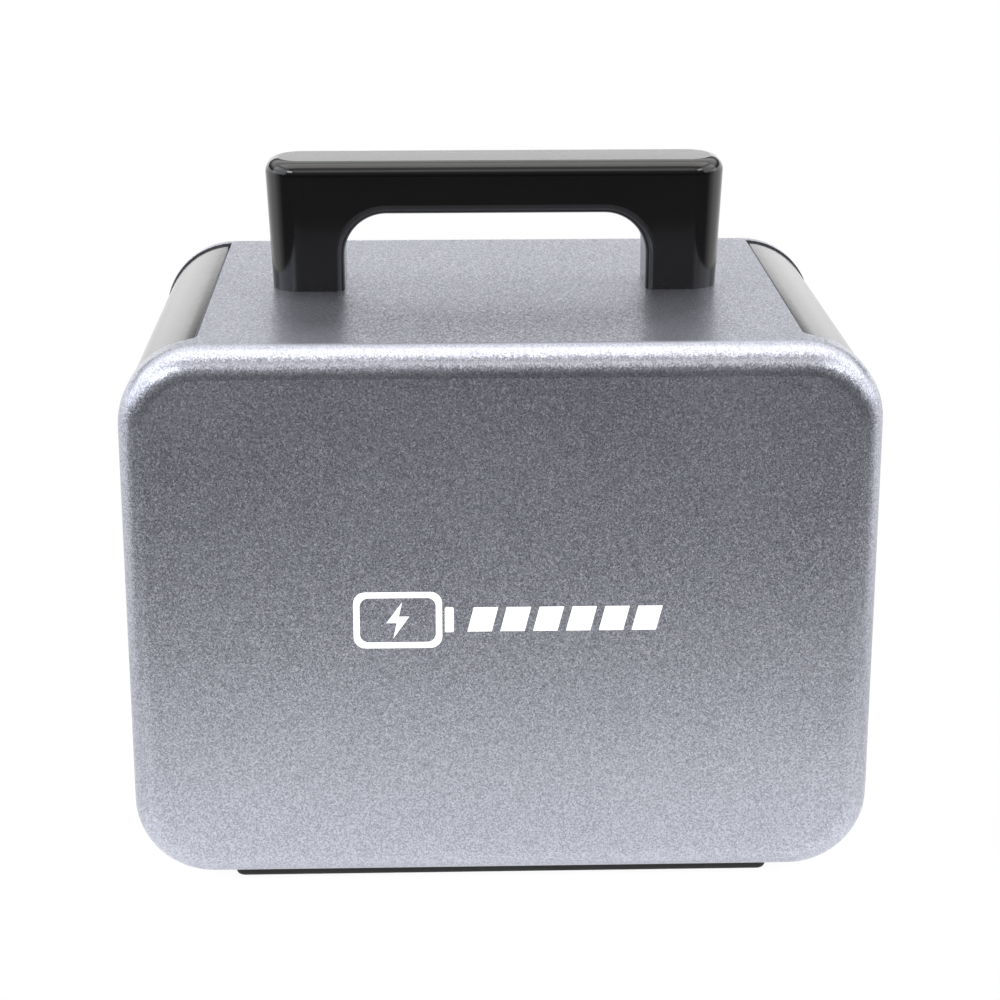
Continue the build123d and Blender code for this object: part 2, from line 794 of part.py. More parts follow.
with BuildPart() as battery_tray:
    with BuildSketch(Plane.XY.offset(pack_bottom_z - 2.4)):
        with Locations((0, tray_front_y)):
            Rectangle(190, tray_depth, align=(Align.CENTER, Align.MIN))
    extrude(amount=2.3)
    with BuildSketch(Plane.XY.offset(z_bottom + wall)):
        with Locations((0, tray_front_y + 12), (0, tray_front_y + tray_depth - 12)):
            RectangleRounded(160, 10, 2)
    extrude(amount=pack_bottom_z - 2.3 - z_bottom - wall)
    with BuildSketch(Plane.XY.offset(pack_bottom_z - 0.2)):
        with Locations((0, tray_front_y + 0.6), (0, tray_front_y + tray_depth - 0.6)):
            Rectangle(180, 1.2)
    extrude(amount=12)
save(battery_tray.part, "battery_tray")

with BuildPart() as battery_straps:
    for strap_back_y in (-27, -50):
        with BuildSketch(upright(strap_back_y)):
            with Locations((0, pack_middle_z + 0.6)):
                RectangleRounded(holder_width + 2.4, holder_height + 1.6, 5)
                RectangleRounded(holder_width + 0.4, holder_height, 4, mode=Mode.SUBTRACT)
            with Locations((0, pack_bottom_z)):
                Rectangle(holder_width - 6, 6, mode=Mode.SUBTRACT)
        extrude(amount=12)
save(battery_straps.part, "battery_straps")

bms_z = pack_bottom_z + holder_height + 2.6

with BuildPart() as bms_board:
    with BuildSketch(Plane.XY.offset(bms_z)):
        with Locations((0, inverter_middle_y)):
            RectangleRounded(150, 60, 3)
    extrude(amount=board_thickness)
    with BuildSketch(Plane.XY.offset(bms_z + board_thickness)):
        with Locations((0, inverter_middle_y - 14)):
            with GridLocations(13, 0, 8, 1):
                RectangleRounded(9, 10, 0.6)
        with Locations((-25, inverter_middle_y + 10), (10, inverter_middle_y + 10)):
            RectangleRounded(10, 10, 0.4)
    extrude(amount=3)
    with BuildSketch(Plane.XY.offset(bms_z + board_thickness)):
        with Locations((-60, -19), (-48, -19)):
            Rectangle(9, 9)
    extrude(amount=6)
save(bms_board.part, "bms_board")

# ---------------------------------------------------------------- inverter

with BuildPart() as inverter_shelf:
    with BuildSketch(upright(inverter_middle_y + shelf_depth / 2)):
        with Locations((0, shelf_leg_foot_z)):
            Rectangle(
                2 * shelf_half_width,
                shelf_z + shelf_thickness - shelf_leg_foot_z,
                align=(Align.CENTER, Align.MIN),
            )
            Rectangle(
                2 * (shelf_half_width - shelf_thickness),
                shelf_z - shelf_leg_foot_z,
                align=(Align.CENTER, Align.MIN),
                mode=Mode.SUBTRACT,
            )
    extrude(amount=shelf_depth)
    with BuildSketch(Plane.XY.offset(shelf_z)):
        with Locations((0, inverter_middle_y)):
            with GridLocations(30, 16, 6, 3):
                SlotOverall(22, 6)
    extrude(amount=shelf_thickness, mode=Mode.SUBTRACT)
save(inverter_shelf.part, "inverter_shelf")

standoff_points = [(sx * 82.0, inverter_middle_y + sy * 28.0) for sx in (-1, 1) for sy in (-1, 1)]

with BuildPart() as board_standoffs:
    with BuildSketch(Plane.XY.offset(shelf_z + shelf_thickness)):
        with Locations(*standoff_points):
            RegularPolygon(3.2, 6)
    extrude(amount=inverter_board_z - shelf_z - shelf_thickness)
    with BuildSketch(upright(panel_back_y - 0.1)):
        with Locations(*board_post_points):
            RegularPolygon(3.2, 6)
    extrude(amount=panel_back_y - 0.1 - port_board_y - board_thickness)
    with BuildSketch(upright(port_board_y + board_thickness + 6)):
        with Locations(*board_post_points):
            Circle(1.3)
    extrude(amount=7, mode=Mode.SUBTRACT)
save(board_standoffs.part, "board_standoffs")

component_z = inverter_board_z + board_thickness

with BuildPart() as inverter_board:
    with BuildSketch(Plane.XY.offset(inverter_board_z)):
        with Locations((0, inverter_middle_y)):
            RectangleRounded(inverter_board_width, inverter_board_depth, 3)
    extrude(amount=board_thickness)
    with BuildSketch(Plane.XY.offset(component_z)):
        with Locations((-60, -19), (-48, -19), (24, -19), (32, -19)):
            Rectangle(7, 9)
        with Locations((-24, -19)):
            Rectangle(18, 9)
        with Locations((79, -52), (79, -36)):
            RectangleRounded(10, 10, 0.5)
    extrude(amount=9)
save(inverter_board.part, "inverter_board")

heatsink_points = [(-42.0, -70.0), (46.0, -70.0)]

with BuildPart() as heatsinks:
    with BuildSketch(Plane.XY.offset(component_z)):
        with Locations(*heatsink_points):
            Rectangle(70, 3)
        for sink_x, sink_y in heatsink_points:
            with Locations((sink_x, sink_y + 4.5)):
                with GridLocations(5.6, 0, 13, 1):
                    Rectangle(1.2, 8)
    extrude(amount=36)
save(heatsinks.part, "heatsinks")

with BuildPart() as power_transistors:
    with BuildSketch(Plane.XY.offset(component_z + 3)):
        for sink_x, sink_y in heatsink_points:
            with Locations((sink_x, sink_y - 3.6)):
                with GridLocations(17, 0, 4, 1):
                    Rectangle(10, 4.2)
    extrude(amount=15)
save(power_transistors.part, "power_transistors")

transformer_x = 12.0
transformer_y = -42.0

with BuildPart() as transformer_core:
    with BuildSketch(upright(transformer_y + 8)):
        with Locations((transformer_x, component_z + 20)):
            Rectangle(44, 40)
            with GridLocations(22, 0, 2, 1):
                Rectangle(11, 28, mode=Mode.SUBTRACT)
    extrude(amount=16)
save(transformer_core.part, "transformer_core")

with BuildPart() as transformer_winding:
    with BuildSketch(Plane.XY.offset(component_z + 6.5)):
        with Locations((transformer_x, transformer_y)):
            RectangleRounded(31, 36, 8)
            Rectangle(11.4, 16.4, mode=Mode.SUBTRACT)
    extrude(amount=27)
save(transformer_winding.part, "transformer_winding")

with BuildPart() as capacitors:
    with BuildSketch(Plane.XY.offset(component_z)):
        with Locations((-68, -42), (-44, -42), (-20, -44)):
            Circle(10)
    extrude(amount=38)
    fillet(capacitors.faces().group_by(Axis.Z)[-1].edges(), radius=1.2)
save(capacitors.part, "capacitors")

with BuildPart() as choke_coil:
    with BuildSketch(Plane.XY.offset(component_z)):
        with Locations((56, -44)):
            Circle(13)
            Circle(6, mode=Mode.SUBTRACT)
    extrude(amount=14)
    fillet(choke_coil.faces().filter_by(Axis.Z).edges(), radius=2.5)
save(choke_coil.part, "choke_coil")

# ---------------------------------------------------------------- wiring


def make_wire(radius, bend, points):
    """One wire along straight runs joined by round bends."""
    with BuildPart() as wire:
        with BuildLine() as path:
            FilletPolyline(*points, radius=bend)
        with BuildSketch(Plane(origin=path.line @ 0, z_dir=path.line % 0)):
            Circle(radius)
        sweep(path=path.line)
    return wire.part


def battery_lead_route(x):
    """From the battery board out past the pack's end and up to the inverter board."""
    low_z = bms_z + board_thickness + 3
    high_z = component_z + 5
    return [(x, -14.4, low_z), (x, 4, low_z), (x, 4, high_z), (x, -14.4, high_z)]


save(make_wire(2.2, 6, battery_lead_route(-60)), "lead_positive")
save(make_wire(2.2, 6, battery_lead_route(-48)), "lead_negative")

with BuildPart() as ac_wires:
    for offset_x in (-6, 0, 6):
        add(
            make_wire(
                1.4,
                9,
                [
                    (-24 + offset_x, -14.4, component_z + 5),
                    (-24 + offset_x, 22, component_z + 5),
                    (-24 + offset_x, 22, ac_socket_z),
                    (-24 + offset_x, y_rear - ac_recess_depth - 16.1, ac_socket_z),
                ],
            )
        )
save(ac_wires.part, "ac_wires")

with BuildPart() as dc_wires:
    for wire_x in (24, 32):
        add(
            make_wire(
                1.4,
                9,
                [
                    (wire_x, -14.4, component_z + 5),
                    (wire_x, 26, component_z + 5),
                    (wire_x, 42, component_z - 9),
                    (wire_x, port_board_y - 0.1, component_z - 9),
                ],
            )
        )
save(dc_wires.part, "dc_wires")

# ---------------------------------------------------------------- fans


def make_fan_frame(side):
    """A square fan frame with its motor plate, spokes and bearing tube."""
    with BuildPart() as frame:
        with BuildSketch(sideways(side * fan_inner_x)):
            with Locations((fan_y, fan_z)):
                RectangleRounded(fan_size, fan_size, 3)
                Circle(fan_bore_radius, mode=Mode.SUBTRACT)
                with GridLocations(fan_size - 8, fan_size - 8, 2, 2):
                    Circle(1.8, mode=Mode.SUBTRACT)
        extrude(amount=side * fan_depth)
        with BuildSketch(sideways(side * fan_inner_x)):
            with Locations((fan_y, fan_z)):
                Circle(9.5)
                Rectangle(2 * fan_bore_radius + 1, 2.6)
                Rectangle(2.6, 2 * fan_bore_radius + 1)
        extrude(amount=side * 2)
        with BuildSketch(sideways(side * (fan_inner_x + 2))):
            with Locations((fan_y, fan_z)):
                Circle(3.5)
        extrude(amount=side * 8)
        with BuildSketch(sideways(side * (fan_inner_x + 2))):
            with Locations((fan_y, fan_z)):
                Circle(shaft_radius + running_fit)
        extrude(amount=side * 8, mode=Mode.SUBTRACT)
    return frame.part


def make_fan_rotor(side):
    """A fan wheel: cup, shaft and slanted blades around the fan's axis."""
    with BuildPart() as rotor:
        with BuildSketch(sideways(side * (fan_inner_x + 3))):
            with Locations((fan_y, fan_z)):
                Circle(9.3)
                Circle(8.2, mode=Mode.SUBTRACT)
        extrude(amount=side * 10)
        with BuildSketch(sideways(side * (fan_inner_x + 12))):
            with Locations((fan_y, fan_z)):
                Circle(9.3)
        extrude(amount=side * 1.2)
        with BuildSketch(sideways(side * (fan_inner_x + 2.6))):
            with Locations((fan_y, fan_z)):
                Circle(shaft_radius)
        extrude(amount=side * 10)
        for blade in range(fan_blades):
            angle = radians(360 * blade / fan_blades)
            outward = Vector(0, cos(angle), sin(angle))
            root = Vector(side * (fan_inner_x + 8.2), fan_y, fan_z) + outward * 8.8
            with BuildSketch(Plane(origin=root, x_dir=(1, 0, 0), z_dir=outward)):
                Rectangle(12, 1.1, rotation=35)
            extrude(amount=13.6)
    return rotor.part


for fan_name, fan_side in (("left", -1), ("right", 1)):
    save(make_fan_frame(fan_side), f"fan_frame_{fan_name}")
    save(make_fan_rotor(fan_side), f"fan_rotor_{fan_name}")
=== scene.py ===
import json
import math

import bmesh
import bpy
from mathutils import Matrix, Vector


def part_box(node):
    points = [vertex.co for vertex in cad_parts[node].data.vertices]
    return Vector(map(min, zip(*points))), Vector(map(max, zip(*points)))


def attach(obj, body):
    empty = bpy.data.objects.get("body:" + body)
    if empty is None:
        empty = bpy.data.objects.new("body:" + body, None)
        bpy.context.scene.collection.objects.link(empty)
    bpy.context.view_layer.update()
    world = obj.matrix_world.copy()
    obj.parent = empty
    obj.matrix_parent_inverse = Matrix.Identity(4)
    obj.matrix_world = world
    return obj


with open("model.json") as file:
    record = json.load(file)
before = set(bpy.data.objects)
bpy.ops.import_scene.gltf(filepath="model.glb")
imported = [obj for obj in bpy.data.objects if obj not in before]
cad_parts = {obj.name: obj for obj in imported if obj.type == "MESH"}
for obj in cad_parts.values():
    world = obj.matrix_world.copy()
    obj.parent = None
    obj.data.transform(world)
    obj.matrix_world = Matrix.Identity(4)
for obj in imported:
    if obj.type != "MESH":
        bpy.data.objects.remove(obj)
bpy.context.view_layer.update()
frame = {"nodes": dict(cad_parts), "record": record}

MM = 0.001
SHELL_LOW, SHELL_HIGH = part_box("outer_shell")
REAR_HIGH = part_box("rear_frame")[1]
FACE_Y = SHELL_LOW.y
TOP_Z = SHELL_HIGH.z
REAR_Y = REAR_HIGH.y

# Brightness of the surroundings by height: 0 is straight down, 0.5 the horizon, 1 straight up.
BACK_SKY = [
    (0.0, 0.5), (0.44, 0.5), (0.5, 0.68), (0.588, 0.80), (0.606, 0.05),
    (0.66, 0.05), (0.74, 0.70), (0.9, 0.70), (1.0, 0.45),
]
FRONT_SKY = [
    (0.0, 0.45), (0.25, 0.35), (0.34, 0.09), (0.40, 0.02),
    (0.50, 0.03), (0.60, 0.09), (0.72, 0.15), (1.0, 0.35),
]
# The sheet glows by this much next to the object and less away from it.
FLOOR_GLOW = 0.78
FLOOR_FALLOFF = [(0.0, 1.0), (0.05, 0.62), (0.12, 0.27), (0.24, 0.08), (0.36, 0.0)]
FLOOR_SIZE = 2.4
PAPER_GREY = 0.5
# The sheet fades out over this distance from the object, and is thinner still to the camera.
FLOOR_FADE = [(0.10, 0.0), (0.34, 1.0)]
FLOOR_THINNING = [(0.0, 0.72), (0.07, 1.0)]
SKY_STRENGTH = 2.1
WARM = (1.0, 0.97, 0.93)
COOL = (0.93, 0.96, 1.0)
WHITE = (1.0, 1.0, 1.0)
# Each lamp: name, place, width and height in metres, brightness of its surface, colour.
SOFTBOXES = [
    ("overhead_softbox", (0, 0.0, 1.05), (1.5, 0.7), 1.65, WARM),
    ("front_softbox", (0, -0.84, 0.82), (0.9, 0.30), 1.05, WARM),
    ("left_softbox", (-1.0, -0.20, 0.62), (1.0, 0.75), 1.7, COOL),
    ("right_softbox", (1.0, -0.20, 0.62), (1.0, 0.75), 1.5, WHITE),
    ("left_spot", (-0.72, -0.80, 0.78), (0.32, 0.26), 8.0, WHITE),
    ("right_spot", (0.72, -0.80, 0.78), (0.32, 0.26), 4.5, WHITE),
]

# Camera: lens and sensor in millimetres, place in metres, turns in radians.
# CAMERA_AHEAD is measured from the plain face, the rest from the middle of the base.
SENSOR = 36
LENS = 85.8
LENS_SHIFT = -0.06
CAMERA_X = -0.0216
CAMERA_AHEAD = 0.6908
CAMERA_Z = 0.3567
CAMERA_DOWN = 0.291
CAMERA_TURN = -0.030

# The paint: grains to the metre, how far each one is tipped, and the darkest and lightest grain.
GRAIN_SCALE = 2500
GRAIN_TILT = 0.12
GRAIN_TONES = [(0.1, (0.32, 0.33, 0.385)), (0.9, (0.58, 0.59, 0.665))]
PATCH_TONE = (0.42, 0.43, 0.49)
PATCH_SHARE = 0.12

# Y of the faces that carry print, and how far ink stands off them, in metres.
PANEL_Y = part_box("display_window")[1].y
BUTTON_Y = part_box("button_ac")[1].y
LCD_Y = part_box("lcd_module")[1].y
INK_RISE = 0.00002
# Places of the sockets, buttons and display, in millimetres of the part.
AC_SOCKETS_X = (-77.0, -23.0)
CAR_SOCKET_X = 34.0
INPUT_JACK = (66.0, 145.0)
DISPLAY_Z = 145.0
BUTTONS = {
    "ac_button": (-50.0, 101.0),
    "dc_button": (34.0, 101.0),
    "usb_button": (77.0, 121.0),
    "display_button": (-66.0, 145.0),
}
# Left, right, low and high edges of the printed frames round the groups of sockets.
PANEL_GROUPS = [(-104.5, 4.0, 27.5, 112.0), (16.0, 104.5, 27.5, 88.0)]
# The painted shadow strip beside each side panel, a dark sheet where the gap is only in shade: its Y extent
# and how far it lies under the outline, in mm.
SEAM_Y = (-68.02, -67.45)
SEAM_INSET = 0.35
BODY_HEIGHT = 174.0
BODY_CORNER = 25.0
# Each side panel starts this far from the middle of the case.
SIDE_WINDOW_X = 93.0
# The mark on the plain face: a battery symbol, then slanted bars.
MARK_X = -32.5
MARK_Z = 91.8
MARK_SIZE = (27.5, 18.5)
MARK_LINE = 2.0
MARK_BOLT = 12.0
MARK_BARS = 6
BARS_LEFT = -11.0
BAR_PITCH = 10.2
BAR_WIDTH = 7.6
BAR_SLANT = 2.0
BAR_HALF_HEIGHT = 4.0
# The small symbols of the control panel.
WAVE_Z = 87.5
WAVE_STEPS = 24
DC_LABEL_Z = 78.0
DC_LABELS_X = (CAR_SOCKET_X, 78.0)
USB_LABEL_Z = 109.0
USB_A_X = (60.0, 78.0)
USB_C_X = 95.0
SUN_RISE = 16.5
SUN_RAYS = 8
FRAME_CORNER = 7.0
FRAME_LINE = 0.35
BUTTON_RING = (7.9, 7.5)
POWER_RADIUS = 2.1
POWER_LINE = 0.5
# The display, from its battery gauge to its arrows.
GAUGE_X = 21.0
GAUGE_BARS = 5
FIGURES_X = (0.0, -9.0, -18.0)
ARROWS_X = -30.0
CORNER_STEPS = 6
ROUND_STEPS = 40
# A lightning bolt one unit high.
BOLT = [(0.12, 0.5), (-0.30, -0.08), (-0.03, -0.08), (-0.12, -0.5), (0.30, 0.10), (0.03, 0.10)]

scene = bpy.context.scene
scene.view_settings.view_transform = "Standard"
scene.view_settings.look = "None"


# ---------------------------------------------------------------- camera

def make_camera():
    """A long lens, a little above and left of centre, looking down at the plain face."""
    data = bpy.data.cameras.new("camera")
    data.sensor_width = SENSOR
    data.lens = LENS
    data.shift_y = LENS_SHIFT
    camera = bpy.data.objects.new("camera", data)
    camera.location = (CAMERA_X, FACE_Y - CAMERA_AHEAD, CAMERA_Z)
    camera.rotation_euler = (math.pi / 2 - CAMERA_DOWN, 0, CAMERA_TURN)
    scene.collection.objects.link(camera)
    scene.camera = camera


# ---------------------------------------------------------------- node helpers

class Tree:
    """A node tree with short calls for adding and joining nodes."""

    def __init__(self, tree):
        self.tree = tree
        tree.nodes.clear()

    def add(self, kind, **settings):
        node = self.tree.nodes.new(kind)
        for key, value in settings.items():
            setattr(node, key, value)
        return node

    def join(self, source, target):
        self.tree.links.new(source, target)

    def math(self, operation, a, b=None, clamp=False):
        node = self.add("ShaderNodeMath", operation=operation, use_clamp=clamp)
        for socket, value in zip(node.inputs, (a, b)):
            if value is None:
                continue
            if isinstance(value, (int, float)):
                socket.default_value = value
            else:
                self.join(value, socket)
        return node.outputs[0]

    def ramp(self, value, stops, interpolation="LINEAR"):
        """A colour ramp; stops are (position, grey or colour)."""
        node = self.add("ShaderNodeValToRGB")
        band = node.color_ramp
        band.interpolation = interpolation
        while len(band.elements) < len(stops):
            band.elements.new(0.5)
        for element, (place, colour) in zip(band.elements, stops):
            element.position = place
            if isinstance(colour, (int, float)):
                colour = (colour, colour, colour)
            element.color = (*colour, 1)
        self.join(value, node.inputs[0])
        return node.outputs[0]

    def mix(self, factor, a, b, kind="MIX"):
        """A colour mix of a and b, each a socket or a colour."""
        node = self.add("ShaderNodeMix", data_type="RGBA", blend_type=kind)
        for socket, value in ((node.inputs[0], factor), (node.inputs[6], a), (node.inputs[7], b)):
            if isinstance(value, (int, float)):
                socket.default_value = value
            elif isinstance(value, tuple):
                socket.default_value = (*value, 1)
            else:
                self.join(value, socket)
        return node.outputs[2]


# ---------------------------------------------------------------- stage and light

def make_floor():
    """A white sheet under the object that fades out towards its edge."""
    bpy.ops.mesh.primitive_plane_add(size=FLOOR_SIZE, location=(0, 0, 0))
    floor = bpy.context.object
    floor.name = "floor"
    material = bpy.data.materials.new("floor")
    material.use_nodes = True
    tree = Tree(material.node_tree)
    place = tree.add("ShaderNodeTexCoord")
    across = tree.add("ShaderNodeSeparateXYZ")
    tree.join(place.outputs["Object"], across.inputs[0])
    beside = tree.math("SUBTRACT", tree.math("ABSOLUTE", across.outputs["X"]), SHELL_HIGH.x)
    ahead = tree.math("SUBTRACT", tree.math("ABSOLUTE", across.outputs["Y"]), REAR_Y)
    distance = tree.math("MAXIMUM", beside, ahead)
    fade = tree.ramp(distance, FLOOR_FADE, "EASE")
    paper = tree.add("ShaderNodeBsdfDiffuse")
    paper.inputs["Color"].default_value = (PAPER_GREY, PAPER_GREY, PAPER_GREY, 1)
    glow = tree.add("ShaderNodeEmission")
    glow.inputs["Strength"].default_value = FLOOR_GLOW
    tree.join(tree.ramp(distance, FLOOR_FALLOFF), glow.inputs["Color"])
    lit_paper = tree.add("ShaderNodeAddShader")
    tree.join(paper.outputs[0], lit_paper.inputs[0])
    tree.join(glow.outputs[0], lit_paper.inputs[1])
    clear = tree.add("ShaderNodeBsdfTransparent")
    path = tree.add("ShaderNodeLightPath")
    shadow_edge = tree.ramp(distance, FLOOR_THINNING, "EASE")
    thin = tree.math("MULTIPLY", path.outputs["Is Camera Ray"], shadow_edge)
    blend = tree.add("ShaderNodeMixShader")
    out = tree.add("ShaderNodeOutputMaterial")
    tree.join(tree.math("MAXIMUM", fade, thin), blend.inputs[0])
    tree.join(lit_paper.outputs[0], blend.inputs[1])
    tree.join(clear.outputs[0], blend.inputs[2])
    tree.join(blend.outputs[0], out.inputs["Surface"])
    floor.data.materials.append(material)


def make_world():
    """A bright backdrop low behind the object, a dim room in front of it, and white to the camera."""
    world = bpy.data.worlds.new("studio")
    scene.world = world
    world.use_nodes = True
    tree = Tree(world.node_tree)
    place = tree.add("ShaderNodeTexCoord")
    parts = tree.add("ShaderNodeSeparateXYZ")
    tree.join(place.outputs["Generated"], parts.inputs[0])
    # Direction turned into height from 0 to 1, then into how far it points behind the object.
    height = tree.math("MULTIPLY_ADD", parts.outputs["Z"], 0.5)
    height.node.inputs[2].default_value = 0.5
    front = tree.ramp(height, FRONT_SKY, "EASE")
    back = tree.ramp(height, BACK_SKY)
    turn = tree.math("MULTIPLY_ADD", parts.outputs["Y"], 2.0)
    turn.node.inputs[2].default_value = 0.75
    turn.node.use_clamp = True
    colour = tree.mix(turn, front, back)
    light = tree.add("ShaderNodeBackground")
    light.inputs["Strength"].default_value = SKY_STRENGTH
    tree.join(colour, light.inputs["Color"])
    plain = tree.add("ShaderNodeBackground")
    plain.inputs["Color"].default_value = (1, 1, 1, 1)
    path = tree.add("ShaderNodeLightPath")
    choose = tree.add("ShaderNodeMixShader")
    out = tree.add("ShaderNodeOutputWorld")
    tree.join(path.outputs["Is Camera Ray"], choose.inputs[0])
    tree.join(light.outputs[0], choose.inputs[1])
    tree.join(plain.outputs[0], choose.inputs[2])
    tree.join(choose.outputs[0], out.inputs["Surface"])


def softbox(name, place, size, radiance, colour):
    """A rectangular lamp aimed at the top of the object, with the given brightness of surface."""
    data = bpy.data.lights.new(name, "AREA")
    data.shape = "RECTANGLE"
    data.size, data.size_y = size
    data.energy = radiance * math.pi * size[0] * size[1]
    data.color = colour
    lamp = bpy.data.objects.new(name, data)
    lamp.location = place
    aim = Vector((0, 0, TOP_Z)) - Vector(place)
    lamp.rotation_euler = aim.to_track_quat("-Z", "Y").to_euler()
    scene.collection.objects.link(lamp)


def make_lights():
    for settings in SOFTBOXES:
        softbox(*settings)


# ---------------------------------------------------------------- materials

def new_material(name):
    """A material with a Principled shader joined to its output."""
    material = bpy.data.materials.new(name)
    material.use_nodes = True
    tree = Tree(material.node_tree)
    shader = tree.add("ShaderNodeBsdfPrincipled")
    out = tree.add("ShaderNodeOutputMaterial")
    tree.join(shader.outputs[0], out.inputs["Surface"])
    return material, tree, shader


def noise(tree, scale, detail=2.0, stretch=None):
    """Noise over the object's own metres; stretch scales the axes."""
    place = tree.add("ShaderNodeTexCoord")
    source = place.outputs["Object"]
    if stretch:
        mapping = tree.add("ShaderNodeMapping")
        mapping.inputs["Scale"].default_value = stretch
        tree.join(source, mapping.inputs["Vector"])
        source = mapping.outputs[0]
    node = tree.add("ShaderNodeTexNoise")
    node.inputs["Scale"].default_value = scale
    node.inputs["Detail"].default_value = detail
    tree.join(source, node.inputs["Vector"])
    return node.outputs["Fac"]


def bump(tree, shader, height, distance, strength=1.0):
    """Raises the surface by a height pattern, distance in metres."""
    node = tree.add("ShaderNodeBump")
    node.inputs["Strength"].default_value = strength
    node.inputs["Distance"].default_value = distance
    tree.join(height, node.inputs["Height"])
    tree.join(node.outputs[0], shader.inputs["Normal"])


def flake_normal(tree, shader, scale, tilt):
    """Tips the surface by a small random amount in each grain of the paint; gives each a grey too."""
    place = tree.add("ShaderNodeTexCoord")
    cells = tree.add("ShaderNodeTexVoronoi")
    cells.inputs["Scale"].default_value = scale
    tree.join(place.outputs["Object"], cells.inputs["Vector"])
    centred = tree.add("ShaderNodeVectorMath", operation="SUBTRACT")
    centred.inputs[1].default_value = (0.5, 0.5, 0.5)
    tree.join(cells.outputs["Color"], centred.inputs[0])
    scaled = tree.add("ShaderNodeVectorMath", operation="SCALE")
    scaled.inputs["Scale"].default_value = tilt
    tree.join(centred.outputs[0], scaled.inputs[0])
    surface = tree.add("ShaderNodeNewGeometry")
    tipped = tree.add("ShaderNodeVectorMath", operation="ADD")
    tree.join(surface.outputs["Normal"], tipped.inputs[0])
    tree.join(scaled.outputs[0], tipped.inputs[1])
    unit = tree.add("ShaderNodeVectorMath", operation="NORMALIZE")
    tree.join(tipped.outputs[0], unit.inputs[0])
    tree.join(unit.outputs[0], shader.inputs["Normal"])
    grey = tree.add("ShaderNodeSeparateColor")
    tree.join(cells.outputs["Color"], grey.inputs[0])
    return grey.outputs[1]


def shell_paint():
    """Metallic paint of the case: fine bright and dark grains under faint patches."""
    material, tree, shader = new_material("shell_paint")
    patches = noise(tree, 30, 2.0)
    grain = flake_normal(tree, shader, GRAIN_SCALE, GRAIN_TILT)
    tone = tree.ramp(grain, GRAIN_TONES)
    tone = tree.mix(tree.math("MULTIPLY", patches, PATCH_SHARE), tone, PATCH_TONE)
    tree.join(tone, shader.inputs["Base Color"])
    shader.inputs["Metallic"].default_value = 0.92
    rough = tree.ramp(patches, [(0.3, 0.30), (0.7, 0.34)])
    tree.join(rough, shader.inputs["Roughness"])
    return material


def moulded(name, colour, roughness, grain_scale=900, grain_depth=0.00002, spread=0.25, ior=1.5):
    """Moulded plastic or rubber: slight colour drift, fine grain in gloss and surface."""
    material, tree, shader = new_material(name)
    drift = noise(tree, 45, 3.0)
    fine = noise(tree, grain_scale, 2.0)
    darker = tuple(c * (1 - spread) for c in colour)
    lighter = tuple(min(1.0, c * (1 + spread)) for c in colour)
    tree.join(tree.ramp(drift, [(0.3, darker), (0.7, lighter)]), shader.inputs["Base Color"])
    tree.join(
        tree.ramp(fine, [(0.3, roughness * 0.85), (0.7, min(1.0, roughness * 1.15))]),
        shader.inputs["Roughness"],
    )
    bump(tree, shader, fine, grain_depth)
    shader.inputs["IOR"].default_value = ior
    return material


def metal(name, colour, roughness, brushed=None):
    """Bare metal, brushed along one axis when stretch values are given."""
    material, tree, shader = new_material(name)
    lines = noise(tree, 900, 3.0, brushed or (1, 1, 1))
    darker = tuple(c * 0.85 for c in colour)
    tree.join(tree.ramp(lines, [(0.3, darker), (0.7, colour)]), shader.inputs["Base Color"])
    tree.join(tree.ramp(lines, [(0.3, roughness * 0.7), (0.7, roughness * 1.3)]), shader.inputs["Roughness"])
    shader.inputs["Metallic"].default_value = 1.0
    bump(tree, shader, lines, 0.000012)
    return material


def clear_window():
    """The tinted clear plastic over the display."""
    material, tree, shader = new_material("display_glass")
    smudge = noise(tree, 60, 3.0)
    tree.join(tree.ramp(smudge, [(0.4, 0.03), (0.7, 0.09)]), shader.inputs["Roughness"])
    shader.inputs["Base Color"].default_value = (0.35, 0.38, 0.42, 1)
    shader.inputs["Transmission Weight"].default_value = 0.9
    shader.inputs["IOR"].default_value = 1.49
    return material


